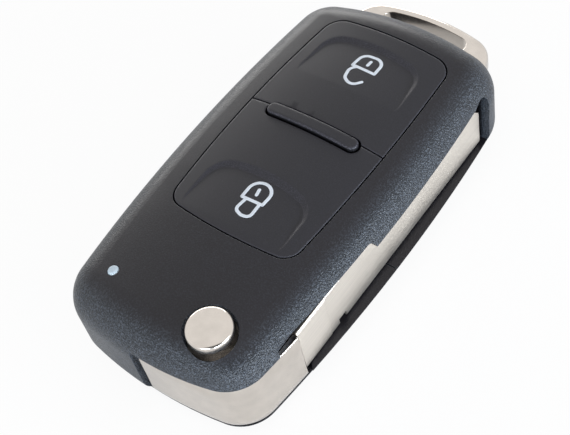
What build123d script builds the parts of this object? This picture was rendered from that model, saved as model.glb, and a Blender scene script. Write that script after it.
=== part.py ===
"""Flip-blade key fob shell: case, push buttons, flip head with a blank blade, and a key-ring loop.

Millimetres. It lies on its back at z = 0 with the buttons up, +Y runs from the flip hinge to the
key-ring loop and +X points to the side that the folded blade lies in. The origin is on the back, on
the middle line of the case and halfway between the hinge end and the tip of the loop.
"""

from build123d import *
from math import sqrt
import os

os.makedirs("parts", exist_ok=True)

# Outer form of the case
body_length = 68.6
body_width = 37.0
body_height = 17.5
body_bows = (1.95, 1.85, 2.2, 1.4)
body_drifts = (2.5, 2.5, 0, 2.6)
corner_radius = 6.6
crown_across = 60.0
crown_along = 700.0
crown_margin = 3.7
front_round = 6.2
back_round = 4.0
wall = 1.6
parting_height = 3.0
parting_gap = 0.06

# Key-ring loop, a cast D whose tongue is caught between the two shells
loop_reach = 6.2
loop_from_side = 6.25
loop_thickness = 3.2
loop_height = 6.2
loop_bow = 2.2
loop_corner = 5.0
loop_bar = 1.6
loop_arm = 4.65
loop_slot_corner = 1.6
loop_edge = 0.9
loop_fit = 0.08
tongue_setback = 1.75
tongue_depth = 4.0
tongue_ear = 0.9
tongue_ear_depth = 1.0
upstand_depth = 2.9

# Flip hinge and head, placed from the case's near end and its blade side
hinge_from_end = 6.9
hinge_from_side = 9.8
head_radius = 10.9
head_gap = 0.2
head_inset = 0.3
pocket_gap = 0.6
pocket_floor = 1.6
mouth_setback = 0.8
mouth_depth = 3.4
barrel_wall = 1.2

# Blank key blade and its slot in the side of the case
blade_thickness = 2.7
blade_height = 9.2
blade_from_side = 2.04
blade_lift = 2.7
blade_from_end = 14.0
blade_length = 46.6
blade_gap = 0.35
blade_headroom = 0.3
blade_edge = 0.25
root_gap = 0.25
shoulder_length = 6.4
shoulder_step = 0.12
nick_from_root = 8.4
nick_length = 1.7
nick_depth = 1.1
tip_round = 0.5
tip_bevel_length = 2.4
tip_bevel_height = 2.6
tang_length = 6.0
tang_height = 6.2
tang_fit = 0.05
slot_floor = 2.2
slot_past_tip = 1.2
arch_length = 3.4
arch_past_peak = 1.3
arch_rise = 0.35
arch_foot = 7.0
relief_from_end = 10.3
relief_length = 21.0
relief_rise = 1.2
relief_depth = 2.6
relief_round = 1.1

# Panel of the two push buttons
panel_from_end = 20.0
panel_length = 42.0
panel_from_side = 6.8
panel_shift = 0.5
panel_bows = (1.1, 0.8, 1.1, 0.3)
panel_drifts = (-2.6, 2.4, 0, 0)
panel_corner = 3.0
seam_from_end = 42.1
button_gap = 0.24
button_travel = 0.6
button_skin = 1.3
button_wall = 1.1
flange_width = 0.6
flange_height = 0.7
flange_gap = 0.08
flange_room = 0.24
roof = 2.6
plunger_radius = 1.5
lock_dish_from_end = 24.9
unlock_dish_from_end = 53.3
dish_from_side = 4.4
dish_length = 7.0
dish_corner = 1.5
dish_slope = 3.0
dish_flare = 66.0
dish_room = 1.3

# Bar between the buttons and the web that carries it
bar_from_side = 3.8
bar_width = 2.1
bar_proud = 0.6
bar_round = 0.4
bar_from_seam = 0.7
bar_gap = 0.35
web_width = 4.4
web_height = 1.2
web_clearance = 0.15
peg_radius = 0.7
peg_from_end = 3.4
peg_fit = 0.05

# Silicone keypad mat
mat_thickness = 0.8
mat_inset = 1.0
mat_gap = 0.1
dome_radius = 2.4
dome_foot_radius = 3.4
dome_play = 0.05
post_radius = 0.8
post_fit = 0.05
post_end = 0.5
post_shoulder = 1.5
tab_width = 4.0
tab_length = 3.2
tab_spacing = 7.5
near_tab_across = -5.4

# Release button on the hinge axis
cap_radius = 3.3
cap_proud = 1.9
cap_dome = 0.8
cap_gap = 0.25
ring_radius = 3.9
ring_depth = 0.6
release_travel = 2.0
catch_radius = 3.7
catch_fit = 0.1
catch_seat = 0.8
catch_height = 3.2
lug_width = 1.6
lug_reach = 0.8
lug_count = 4
lug_turn = 45.0
stem_radius = 2.0
stem_length = 3.2

# Return spring and the keyed foot that it stands on
spring_wire = 0.6
spring_radius = 2.9
spring_turns = 5
spring_gap = 0.02
spring_leg = 0.9
spring_leg_fit = 0.05
spring_room = 0.3
foot_radius = 4.1
foot_height = 1.2
foot_room = 0.2
spigot_radius = 1.7
spigot_height = 1.4
foot_key_radius = 0.6
foot_key_across = -2.9
foot_key_depth = 0.6

# Screws and their bosses
screw_radius = 0.7
screw_fit = 0.05
screw_head_radius = 1.4
screw_head_height = 0.6
screw_head_room = 0.15
drive_length = 1.7
drive_width = 0.4
drive_depth = 0.35
pivot_screw_length = 3.0
case_screw_length = 7.0
case_screw_seat = 1.9
boss_radius = 2.0
hinge_boss_from_side = 5.1
hinge_boss_from_end = 11.5
side_boss_from_side = 6.3
side_boss_from_end = 57.8

# Roll pin through the tang
pin_radius = 0.8
pin_bore = 0.45
pin_slit = 0.4
pin_fit = 0.02
pin_from_face = 4.2
pin_length = 3.6
pin_end_wall = 2.0

# Indicator light pipe
light_from_side = 9.15
light_from_end = 7.7
light_radius = 0.85
light_fit = 0.03
light_boss_radius = 2.2
light_boss_height = 1.0
light_flange_radius = 1.5
light_flange_height = 0.6
light_tail = 1.8
light_proud = 0.25
light_round = 0.45

# Battery cover, the tray above it and the cell bay
cover_from_end = 34.6
cover_gap = 0.15
cover_wall = 1.2
tray_gap = 0.1
cell_radius = 10.3
cell_across = -2.0
cell_from_cover = 13.0
collar_height = 2.2
collar_wall = 1.0
lip_height = 1.6
lip_width = 1.0
lip_fit = 0.1
pry_radius = 2.2
pry_depth = 0.7
rib_width = 1.0
rib_length = 12.0
rib_count = 3
rib_spacing = 8.0

# Places that follow from the sizes above
near_end = -(body_length + loop_reach) / 2
far_end = near_end + body_length
loop_end = far_end + loop_reach
middle = near_end + body_length / 2
loop_width = body_width - 2 * loop_from_side
loop_slot_width = loop_width - 2 * loop_arm
tongue_width = loop_width - 2 * tongue_setback
hinge_across = body_width / 2 - hinge_from_side
hinge_y = near_end + hinge_from_end
hinge_place = (hinge_across, hinge_y)
mouth_across = hinge_across - head_radius + mouth_setback
blade_top = blade_lift + blade_height
pocket_top = blade_top + blade_headroom
pocket_height = pocket_top - pocket_floor
pocket_radius = head_radius + pocket_gap
barrel_radius = pocket_radius + barrel_wall
head_bottom = pocket_floor + head_gap
head_top = pocket_top - head_gap
head_face = near_end + blade_from_end
blade_outer = body_width / 2 - blade_from_side
blade_inner = blade_outer - blade_thickness
blade_middle = blade_outer - blade_thickness / 2
blade_centre = blade_lift + blade_height / 2
blade_root = head_face + root_gap
blade_tip = head_face + blade_length
slot_inner = blade_inner - blade_gap
slot_wall = slot_inner - barrel_wall
slot_end = blade_tip + slot_past_tip
cover_y = near_end + cover_from_end
cell_place = (cell_across, cover_y + cell_from_cover)
panel_width = body_width - 2 * panel_from_side
panel_near = near_end + panel_from_end
panel_far = panel_near + panel_length
seam_y = near_end + seam_from_end
dish_width = panel_width - 2 * dish_from_side
lock_dish_y = near_end + lock_dish_from_end
unlock_dish_y = near_end + unlock_dish_from_end
bar_length = panel_width - 2 * bar_from_side
bar_y = seam_y - bar_from_seam
peg_spacing = bar_length - 2 * peg_from_end
bay_ceiling = body_height - roof
flange_top = bay_ceiling - flange_gap
flange_bottom = flange_top - flange_height
flange_floor = flange_bottom - button_travel - web_clearance
web_top = flange_bottom
web_bottom = web_top - web_height
mat_top = web_bottom - mat_gap
mat_bottom = mat_top - mat_thickness
dome_top = mat_top + web_height
case_bottom = parting_height - parting_gap
loop_top = loop_height + loop_thickness
catch_top = pocket_top + catch_seat
catch_bottom = catch_top - catch_height
foot_top = pocket_floor + foot_height
spring_bottom = foot_top + spring_gap + spring_wire / 2
spring_top = catch_bottom - spring_gap - spring_wire / 2
pin_y = head_face - pin_from_face
pin_end = body_width / 2 - head_inset - pin_end_wall
light_place = (light_from_side - body_width / 2, near_end + light_from_end)
light_seat = bay_ceiling - light_boss_height
hinge_boss = (hinge_boss_from_side - body_width / 2, near_end + hinge_boss_from_end)
side_boss = (side_boss_from_side - body_width / 2, near_end + side_boss_from_end)
near_tabs = (near_tab_across, panel_near)
far_tabs = (panel_shift, panel_far)
beyond = body_length


def crown_drop(across, along):
    """How far the front face has sunk at this place, measured from the middle of the case."""
    drop_across = crown_across - sqrt(crown_across**2 - across**2)
    drop_along = crown_along - sqrt(crown_along**2 - along**2)
    return drop_across + drop_along


def bow_radius(chord, bow):
    """Radius of the edge that rises by bow over this chord."""
    return (chord**2 / 4 + bow**2) / (2 * bow)


def bowed_outline(width, near, far, bows, drifts, corner, outset):
    """Plan with four bowed edges and rounded corners, every edge moved outwards by outset.

    bows and drifts are those of the left, right, near and far edge. A drift is how far the crest
    lies off the middle of its edge, towards the far end or towards the blade's side.
    """
    left_bow, right_bow, near_bow, far_bow = bows
    left_drift, right_drift, near_drift, far_drift = drifts
    side_chord = far - near - near_bow - far_bow
    end_chord = width - left_bow - right_bow
    left_radius = bow_radius(side_chord, left_bow)
    right_radius = bow_radius(side_chord, right_bow)
    near_radius = bow_radius(end_chord, near_bow)
    far_radius = bow_radius(end_chord, far_bow)
    halfway = (near + far) / 2
    with BuildSketch() as outline:
        with Locations((left_radius - width / 2, halfway + left_drift)):
            Circle(left_radius + outset)
        with Locations((width / 2 - right_radius, halfway + right_drift)):
            Circle(right_radius + outset, mode=Mode.INTERSECT)
        with Locations((near_drift, near + near_radius)):
            Circle(near_radius + outset, mode=Mode.INTERSECT)
        with Locations((far_drift, far - far_radius)):
            Circle(far_radius + outset, mode=Mode.INTERSECT)
        fillet(outline.vertices(), corner + outset)
    return outline.sketch


def case_outline(inset):
    """Plan of the case, moved inwards by inset."""
    return bowed_outline(
        body_width, near_end, far_end, body_bows, body_drifts, corner_radius, -inset
    )


def case_form(inset):
    """Whole case as one crowned and rounded solid, every face moved inwards by inset."""
    top = body_height - inset
    axis_height = top - crown_along
    half_section = body_width / 2 + crown_margin
    section_drop = crown_drop(half_section, 0)
    # The section lies on the far side of its axis, which keeps its seam clear of the case.
    far_top = 2 * axis_height - top
    far_side = far_top + 2 * body_height
    with BuildPart() as form:
        with BuildSketch(Plane.XY.offset(inset)):
            add(case_outline(inset))
        extrude(amount=body_height)
        with BuildSketch(Plane.XZ.offset(-middle)):
            with BuildLine():
                crown = ThreePointArc(
                    (-half_section, far_top + section_drop),
                    (0, far_top),
                    (half_section, far_top + section_drop),
                )
                Polyline(crown @ 1, (half_section, far_side), (-half_section, far_side), crown @ 0)
            make_face()
        revolve(axis=Axis((0, middle, axis_height), (1, 0, 0)), mode=Mode.INTERSECT)
        fillet(form.faces().sort_by(Axis.Z)[-1].edges(), front_round - inset)
        fillet(form.faces().sort_by(Axis.Z)[0].edges(), back_round - inset)
    return form.part


def panel_outline(outset):
    """Plan of the button panel, moved outwards by outset."""
    with BuildSketch() as outline:
        with Locations((panel_shift, 0)):
            add(
                bowed_outline(
                    panel_width,
                    panel_near,
                    panel_far,
                    panel_bows,
                    panel_drifts,
                    panel_corner,
                    outset,
                )
            )
    return outline.sketch


def strip(near, far):
    """Strip of the plan between two places along the case, wider than the case."""
    with BuildSketch() as band:
        with Locations((0, (near + far) / 2)):
            Rectangle(beyond, far - near)
    return band.sketch


def bar_outline(outset):
    """Plan of the bar between the buttons, moved outwards by outset."""
    with BuildSketch() as outline:
        with Locations((panel_shift, bar_y)):
            SlotOverall(bar_length + 2 * outset, bar_width + 2 * outset)
    return outline.sketch


def blade_side():
    """Plan right of the blade slot's inner wall, as far as the case's side."""
    with BuildSketch() as side:
        with Locations((slot_inner + beyond / 2, middle)):
            Rectangle(beyond, 2 * beyond)
    return side.sketch


def tab_places(place, reach, spacing):
    """Middles of the two mat tabs beside one edge of the panel, reach being the way outwards."""
    across, along = place
    return [(across - spacing / 2, along + reach), (across + spacing / 2, along + reach)]


post_places = tab_places(near_tabs, -tab_length / 2, tab_spacing)
post_places += tab_places(far_tabs, tab_length / 2, 2 * tab_spacing)
outer_form = case_form(0)
hinge_surface = body_height - crown_drop(hinge_across, hinge_y - middle)
light_surface = body_height - crown_drop(light_place[0], light_place[1] - middle)

# Spaces inside the case

with BuildPart() as circuit_bay:
    add(case_form(wall))
    with BuildSketch(Plane.XY.offset(parting_height)):
        add(case_outline(wall))
    extrude(amount=2 * lip_height)
    with BuildSketch(Plane.XY.offset(bay_ceiling)):
        add(strip(near_end, far_end))
    extrude(amount=body_height, mode=Mode.SUBTRACT)
    with BuildSketch():
        with Locations(hinge_place):
            Circle(barrel_radius)
        with Locations((-barrel_wall, 0)):
            add(blade_side())
    extrude(amount=body_height, mode=Mode.SUBTRACT)

with BuildPart() as flip_pocket:
    with BuildSketch(Plane.XY.offset(pocket_floor)):
        with Locations(hinge_place):
            Circle(pocket_radius)
        with Locations(((hinge_across + mouth_across) / 2, near_end)):
            Rectangle(hinge_across - mouth_across, 2 * mouth_depth)
    extrude(amount=pocket_height)

with BuildPart() as blade_slot:
    arch_top = pocket_top + arch_rise
    arch_start = slot_end - arch_length
    arch_peak = slot_end - arch_past_peak
    with BuildSketch(Plane.YZ.offset(slot_inner)):
        with BuildLine():
            lower = Polyline(
                (arch_start, pocket_top),
                (hinge_y, pocket_top),
                (hinge_y, slot_floor),
                (slot_end, slot_floor),
                (slot_end, arch_foot),
            )
            rise = Spline((arch_start, pocket_top), (arch_peak, arch_top), tangents=[(1, 0), (1, 0)])
            Spline(rise @ 1, lower @ 1, tangents=[(1, 0), (0, -1)])
        make_face()
    extrude(amount=beyond)

with BuildPart() as slot_relief:
    with BuildSketch(Plane.YZ.offset(body_width / 2 - relief_depth)):
        with Locations((near_end + relief_from_end + relief_length / 2, pocket_top)):
            RectangleRounded(relief_length, 2 * relief_rise, relief_round)
    extrude(amount=beyond)

# The screws' bosses stop inside the wall where the case rounds off.
with BuildPart() as screw_bosses:
    with BuildSketch(Plane.XY.offset(parting_height)):
        with Locations(hinge_boss, side_boss):
            Circle(boss_radius)
    extrude(amount=bay_ceiling - parting_height)
    add(case_form(wall / 2), mode=Mode.INTERSECT)

# Front shell, with every wall down to the parting line

with BuildPart() as front_shell:
    add(outer_form)
    with BuildSketch():
        add(strip(near_end, far_end))
    extrude(amount=parting_height, mode=Mode.SUBTRACT)
    add(circuit_bay.part, mode=Mode.SUBTRACT)
    add(flip_pocket.part, mode=Mode.SUBTRACT)
    add(blade_slot.part, mode=Mode.SUBTRACT)
    add(slot_relief.part, mode=Mode.SUBTRACT)
    # Bosses for the screws and the light pipe, and shouldered posts for the mat
    add(screw_bosses.part)
    with BuildSketch(Plane.XY.offset(light_seat)):
        with Locations(light_place):
            Circle(light_boss_radius)
    extrude(amount=light_boss_height)
    with BuildSketch(Plane.XY.offset(mat_top)):
        with Locations(post_places):
            Circle(post_shoulder)
    extrude(amount=bay_ceiling - mat_top)
    with BuildSketch(Plane.XY.offset(mat_bottom - post_end)):
        with Locations(post_places):
            Circle(post_radius)
    extrude(amount=mat_thickness + post_end)
    # Button opening, with room below its edge for the caps' flanges
    with BuildSketch(Plane.XY.offset(flange_floor)):
        add(panel_outline(flange_width + flange_room))
    extrude(amount=bay_ceiling - flange_floor, mode=Mode.SUBTRACT)
    with BuildSketch(Plane.XY.offset(flange_floor)):
        add(panel_outline(button_gap / 2))
    extrude(amount=body_height, mode=Mode.SUBTRACT)
    # Web across the opening, with the bar's peg holes
    web_start = front_round / 2 - body_width / 2
    with BuildSketch(Plane.XY.offset(web_bottom)):
        with Locations(((web_start + slot_inner) / 2, bar_y)):
            Rectangle(slot_inner - web_start, web_width)
    extrude(amount=web_height)
    with BuildSketch(Plane.XY.offset(web_bottom)):
        with Locations((panel_shift, bar_y)):
            with GridLocations(peg_spacing, 0, 2, 1):
                Circle(peg_radius + peg_fit)
    extrude(amount=web_height, mode=Mode.SUBTRACT)
    # Well of the release button, with a sloping ring around its mouth
    with BuildSketch(Plane.XY.offset(pocket_top)):
        with Locations(hinge_place):
            Circle(catch_radius + lug_reach + catch_fit)
    extrude(amount=catch_top + catch_fit - pocket_top, mode=Mode.SUBTRACT)
    well_radius = cap_radius + cap_gap
    with BuildSketch(Plane.XY.offset(pocket_top)):
        with Locations(hinge_place):
            Circle(well_radius)
    extrude(amount=body_height, mode=Mode.SUBTRACT)
    with Locations((hinge_across, hinge_y, hinge_surface)):
        Cone(well_radius, 2 * ring_radius - well_radius, 2 * ring_depth, mode=Mode.SUBTRACT)
    # Holes for the light pipe and the screws, and the notch for the loop's tongue
    with BuildSketch(Plane.XY.offset(light_seat)):
        with Locations(light_place):
            Circle(light_radius + light_fit)
    extrude(amount=body_height, mode=Mode.SUBTRACT)
    with BuildSketch(Plane.XY.offset(parting_height)):
        with Locations(hinge_boss, side_boss):
            Circle(screw_radius + screw_fit)
    extrude(amount=case_screw_length, mode=Mode.SUBTRACT)
    with BuildSketch(Plane.XY.offset(parting_height)):
        with Locations((0, far_end)):
            Rectangle(tongue_width + 2 * loop_fit, 2 * upstand_depth)
    extrude(amount=loop_top + loop_fit - parting_height, mode=Mode.SUBTRACT)
front_shell.part.label = "front_shell"
export_step(front_shell.part, "parts/front_shell.step")

# Rear shell: the back of the hinge end, the tray over the battery cover and the locating lip

with BuildPart() as tray:
    add(case_form(cover_wall + tray_gap))
    with BuildSketch(Plane.XY.offset(case_screw_seat)):
        add(strip(cover_y - wall, far_end))
        add(blade_side(), mode=Mode.SUBTRACT)
    extrude(amount=case_bottom - case_screw_seat, mode=Mode.INTERSECT)

with BuildPart() as rear_shell:
    add(outer_form)
    with BuildSketch(Plane.XY.offset(case_bottom)):
        add(strip(near_end, far_end))
    extrude(amount=body_height, mode=Mode.SUBTRACT)
    with BuildSketch():
        add(strip(cover_y, far_end))
    extrude(amount=case_bottom, mode=Mode.SUBTRACT)
    # Lighter floor beside the hinge
    with BuildSketch(Plane.XY.offset(pocket_floor)):
        add(case_outline(wall + lip_fit + lip_width))
        add(strip(near_end, cover_y - wall), mode=Mode.INTERSECT)
        with Locations(hinge_place):
            Circle(barrel_radius, mode=Mode.SUBTRACT)
        with Locations((-barrel_wall, 0)):
            add(blade_side(), mode=Mode.SUBTRACT)
        with Locations(hinge_boss):
            Circle(boss_radius, mode=Mode.SUBTRACT)
    extrude(amount=parting_height, mode=Mode.SUBTRACT)
    add(tray.part)
    # Locating lip and the upstand that closes the notch below the loop's tongue
    with BuildSketch(Plane.XY.offset(case_bottom)):
        add(case_outline(wall + lip_fit))
        add(case_outline(wall + lip_fit + lip_width), mode=Mode.SUBTRACT)
        with Locations(hinge_place):
            Circle(barrel_radius + lip_fit, mode=Mode.SUBTRACT)
        with Locations((-barrel_wall - lip_fit, 0)):
            add(blade_side(), mode=Mode.SUBTRACT)
        with Locations(hinge_boss, side_boss):
            Circle(boss_radius + lip_fit, mode=Mode.SUBTRACT)
    extrude(amount=lip_height)
    with BuildSketch(Plane.XY.offset(case_bottom)):
        add(case_outline(0))
        with Locations((0, far_end)):
            Rectangle(tongue_width, 2 * upstand_depth, mode=Mode.INTERSECT)
    extrude(amount=loop_height - loop_fit - case_bottom)
    # Cell bay with its collar
    with BuildSketch(Plane.XY.offset(case_bottom)):
        with Locations(cell_place):
            Circle(cell_radius + collar_wall)
        with Locations((-barrel_wall - lip_fit, 0)):
            add(blade_side(), mode=Mode.SUBTRACT)
    extrude(amount=collar_height)
    with BuildSketch():
        with Locations(cell_place):
            Circle(cell_radius)
    extrude(amount=body_height, mode=Mode.SUBTRACT)
    add(flip_pocket.part, mode=Mode.SUBTRACT)
    add(blade_slot.part, mode=Mode.SUBTRACT)
    # Screw holes with the seats of their heads, and the hole for the foot's key
    with BuildSketch():
        with Locations(hinge_place, hinge_boss, side_boss):
            Circle(screw_radius + screw_fit)
    extrude(amount=parting_height, mode=Mode.SUBTRACT)
    with BuildSketch():
        with Locations(hinge_place):
            Circle(screw_head_radius + screw_head_room)
    extrude(amount=screw_head_height + screw_head_room, mode=Mode.SUBTRACT)
    with BuildSketch():
        with Locations(hinge_boss):
            Circle(screw_head_radius + screw_head_room)
    extrude(amount=case_screw_seat, mode=Mode.SUBTRACT)
    with BuildSketch(Plane.XY.offset(pocket_floor - foot_key_depth)):
        with Locations((hinge_across + foot_key_across, hinge_y)):
            Circle(foot_key_radius + screw_fit)
    extrude(amount=foot_key_depth, mode=Mode.SUBTRACT)
rear_shell.part.label = "rear_shell"
export_step(rear_shell.part, "parts/rear_shell.step")

with BuildPart() as cover_hollow:
    add(case_form(cover_wall))
    with BuildSketch():
        with Locations((tray_gap, 0)):
            add(blade_side())
    extrude(amount=body_height, mode=Mode.SUBTRACT)

with BuildPart() as battery_cover:
    add(outer_form)
    with BuildSketch(Plane.XY.offset(case_bottom)):
        add(strip(near_end, far_end))
    extrude(amount=body_height, mode=Mode.SUBTRACT)
    with BuildSketch():
        add(strip(near_end, cover_y + cover_gap))
    extrude(amount=case_bottom, mode=Mode.SUBTRACT)
    add(cover_hollow.part, mode=Mode.SUBTRACT)
    add(blade_slot.part, mode=Mode.SUBTRACT)
    # Stiffening ribs inside, and the notch for a coin at the joint
    with BuildSketch(Plane.XY.offset(cover_wall)):
        with Locations(cell_place):
            with GridLocations(rib_spacing, 0, rib_count, 1):
                Rectangle(rib_width, rib_length)
    extrude(amount=case_screw_seat - cover_wall - tray_gap)
    with Locations((0, cover_y + cover_gap, 0)):
        Cylinder(pry_radius, 2 * pry_depth, mode=Mode.SUBTRACT)
battery_cover.part.label = "battery_cover"
export_step(battery_cover.part, "parts/battery_cover.step")


def button_cap(near, far, dish_y):
    """Push button cap that fills the panel from near to far, with a finger dish at dish_y."""
    with BuildPart() as dish:
        dish_foot = body_height - crown_drop(0, dish_y - middle) - dish_room
        with BuildSketch(Plane.XY.offset(dish_foot)):
            with Locations((panel_shift, dish_y)):
                RectangleRounded(dish_width, dish_length, dish_corner)
        extrude(amount=2 * dish_room, taper=-dish_flare)
        dish_start = Axis((0, dish_y - dish_length / 2, body_height), (1, 0, 0))
        add(outer_form.rotate(dish_start, -dish_slope), mode=Mode.SUBTRACT)
    with BuildPart() as hollow:
        add(case_form(button_skin))
        with BuildSketch():
            add(panel_outline(-button_gap / 2 - button_wall))
            add(strip(near + button_wall, far - button_wall), mode=Mode.INTERSECT)
            add(bar_outline(bar_gap + button_wall), mode=Mode.SUBTRACT)
            with Locations((panel_shift, dish_y)):
                Circle(plunger_radius, mode=Mode.SUBTRACT)
        extrude(amount=body_height, mode=Mode.INTERSECT)
    with BuildPart() as cap:
        add(outer_form)
        with BuildSketch(Plane.XY.offset(flange_bottom)):
            add(panel_outline(-button_gap / 2))
            add(strip(near, far), mode=Mode.INTERSECT)
            add(bar_outline(bar_gap), mode=Mode.SUBTRACT)
        extrude(amount=body_height, mode=Mode.INTERSECT)
        with BuildSketch(Plane.XY.offset(flange_bottom)):
            add(panel_outline(flange_width))
            add(strip(near, far), mode=Mode.INTERSECT)
            add(bar_outline(bar_gap), mode=Mode.SUBTRACT)
        extrude(amount=flange_height)
        # Room for the web below the bar
        web_room = web_width / 2 + web_clearance
        with BuildSketch():
            add(strip(bar_y - web_room, bar_y + web_room))
        extrude(amount=web_top + button_travel + web_clearance, mode=Mode.SUBTRACT)
        add(hollow.part, mode=Mode.SUBTRACT)
        add(dish.part, mode=Mode.SUBTRACT)
        # Nose of the plunger, down to the mat's dome
        with BuildSketch(Plane.XY.offset(dome_top + dome_play)):
            with Locations((panel_shift, dish_y)):
                Circle(plunger_radius)
        extrude(amount=button_skin)
    return cap.part


lock_button = button_cap(panel_near - flange_width, seam_y - button_gap / 2, lock_dish_y)
lock_button.label = "lock_button"
export_step(lock_button, "parts/lock_button.step")

unlock_button = button_cap(seam_y + button_gap / 2, panel_far + flange_width, unlock_dish_y)
unlock_button.label = "unlock_button"
export_step(unlock_button, "parts/unlock_button.step")

with BuildPart() as centre_bar:
    with BuildSketch(Plane.XY.offset(web_top)):
        add(bar_outline(0))
    extrude(amount=body_height)
    with Locations((0, 0, bar_proud)):
        add(outer_form, mode=Mode.INTERSECT)
    fillet(centre_bar.faces().sort_by(Axis.Z)[-1].edges(), bar_round)
    with BuildSketch(Plane.XY.offset(web_bottom)):
        with Locations((panel_shift, bar_y)):
            with GridLocations(peg_spacing, 0, 2, 1):
                Circle(peg_radius)
    extrude(amount=web_height)
centre_bar.part.label = "centre_bar"
export_step(centre_bar.part, "parts/centre_bar.step")

with BuildPart() as keypad_mat:
    with BuildSketch(Plane.XY.offset(mat_bottom)):
        add(panel_outline(-mat_inset))
        with Locations(tab_places(near_tabs, 0, tab_spacing)):
            Rectangle(tab_width, 2 * tab_length)
        with Locations(tab_places(far_tabs, 0, 2 * tab_spacing)):
            Rectangle(tab_width, 2 * tab_length)
        with Locations(post_places):
            Circle(post_radius + post_fit, mode=Mode.SUBTRACT)
    extrude(amount=mat_thickness)
    with Locations((panel_shift, lock_dish_y, mat_top), (panel_shift, unlock_dish_y, mat_top)):
        dome_align = (Align.CENTER, Align.CENTER, Align.MIN)
        Cone(dome_foot_radius, dome_radius, dome_top - mat_top, align=dome_align)
keypad_mat.part.label = "keypad_mat"
export_step(keypad_mat.part, "parts/keypad_mat.step")

with BuildPart() as light_pipe:
    with BuildSketch(Plane.XY.offset(light_seat)):
        with Locations(light_place):
            Circle(light_radius)
    extrude(amount=light_surface + light_proud - light_seat)
    fillet(light_pipe.faces().sort_by(Axis.Z)[-1].edges(), light_round)
    with BuildSketch(Plane.XY.offset(light_seat - light_flange_height)):
        with Locations(light_place):
            Circle(light_flange_radius)
    extrude(amount=light_flange_height)
    with BuildSketch(Plane.XY.offset(light_seat - light_flange_height - light_tail)):
        with Locations(light_place):
            Circle(light_radius)
    extrude(amount=light_tail)
light_pipe.part.label = "light_pipe"
export_step(light_pipe.part, "parts/light_pipe.step")

# Key-ring loop


def loop_outline(inset):
    """Plan of the loop from the case's end wall outwards, moved inwards by inset."""
    half_width = loop_width / 2
    base = far_end - wall
    corner_y = loop_end - loop_bow
    with BuildSketch() as outline:
        with BuildLine():
            arc = ThreePointArc((half_width, corner_y), (0, loop_end), (-half_width, corner_y))
            Polyline(arc @ 1, (-half_width, base), (half_width, base), arc @ 0)
        make_face()
        fillet(outline.vertices().group_by(Axis.Y)[-1], loop_corner)
        if inset:
            offset(amount=-inset)
    return outline.sketch


with BuildPart() as key_ring_loop:
    with BuildSketch(Plane.XY.offset(loop_height)):
        add(loop_outline(0))
    extrude(amount=loop_thickness)
    rims = key_ring_loop.faces().filter_by(Plane.XY).edges()
    fillet(rims.filter_by(lambda edge: edge.center().Y > far_end - wall + loop_fit), loop_edge)
    with BuildSketch(Plane.XY.offset(loop_height)) as ring_slot:
        add(loop_outline(loop_bar))
        with Locations((0, far_end + loop_fit + loop_reach / 2)):
            Rectangle(loop_slot_width, loop_reach, mode=Mode.INTERSECT)
        fillet(ring_slot.vertices(), loop_slot_corner)
    extrude(amount=loop_thickness, mode=Mode.SUBTRACT)
    with BuildSketch():
        add(case_outline(-loop_fit))
    extrude(amount=body_height, mode=Mode.SUBTRACT)
    # Tongue through the wall, with an ear at each side behind the wall
    with BuildSketch(Plane.XY.offset(loop_height)):
        add(case_outline(-2 * loop_fit))
        with Locations((0, far_end)):
            Rectangle(tongue_width, 2 * tongue_depth, mode=Mode.INTERSECT)
        with Locations((0, far_end - tongue_depth + tongue_ear_depth / 2)):
            Rectangle(tongue_width + 2 * tongue_ear, tongue_ear_depth)
    extrude(amount=loop_thickness)
key_ring_loop.part.label = "key_ring_loop"
export_step(key_ring_loop.part, "parts/key_ring_loop.step")

# Flip head, the blank blade and the pin that joins them

with BuildPart() as blade_head:
    add(case_form(head_inset))
    with BuildSketch(Plane.XY.offset(head_bottom)):
        with Locations(hinge_place):
            Circle(head_radius)
        add(strip(head_face, far_end), mode=Mode.SUBTRACT)
    extrude(amount=head_top - head_bottom, mode=Mode.INTERSECT)
    # Stepped bore for the foot, the spring and the catch with its lugs
    with BuildSketch(Plane.XY.offset(head_bottom)):
        with Locations(hinge_place):
            Circle(spring_radius + spring_wire / 2 + spring_room)
    extrude(amount=head_top - head_bottom, mode=Mode.SUBTRACT)
    with BuildSketch(Plane.XY.offset(head_bottom)):
        with Locations(hinge_place):
            Circle(foot_radius + foot_room)
    extrude(amount=foot_top + foot_room - head_bottom, mode=Mode.SUBTRACT)
    bore_floor = catch_bottom - release_travel - spring_room
    with BuildSketch(Plane.XY.offset(bore_floor)):
        with Locations(hinge_place):
            Circle(catch_radius + catch_fit)
            with PolarLocations(0, lug_count, lug_turn):
                groove_reach = catch_radius + lug_reach + catch_fit
                groove_width = lug_width + 2 * catch_fit
                Rectangle(groove_reach, groove_width, align=(Align.MIN, Align.CENTER))
    extrude(amount=head_top - bore_floor, mode=Mode.SUBTRACT)
    # Socket of the tang and the blind hole of its pin, drilled from the bore
    with BuildSketch(Plane.XZ.offset(-head_face)):
        with Locations((blade_middle, blade_centre)):
            Rectangle(blade_thickness + 2 * tang_fit, tang_height + 2 * tang_fit)
    extrude(amount=tang_length - root_gap, mode=Mode.SUBTRACT)
    with BuildSketch(Plane.YZ.offset(hinge_across)):
        with Locations((pin_y, blade_centre)):
            Circle(pin_radius + pin_fit)
    extrude(amount=pin_end - hinge_across, mode=Mode.SUBTRACT)
blade_head.part.label = "blade_head"
export_step(blade_head.part, "parts/blade_head.step")

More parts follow.
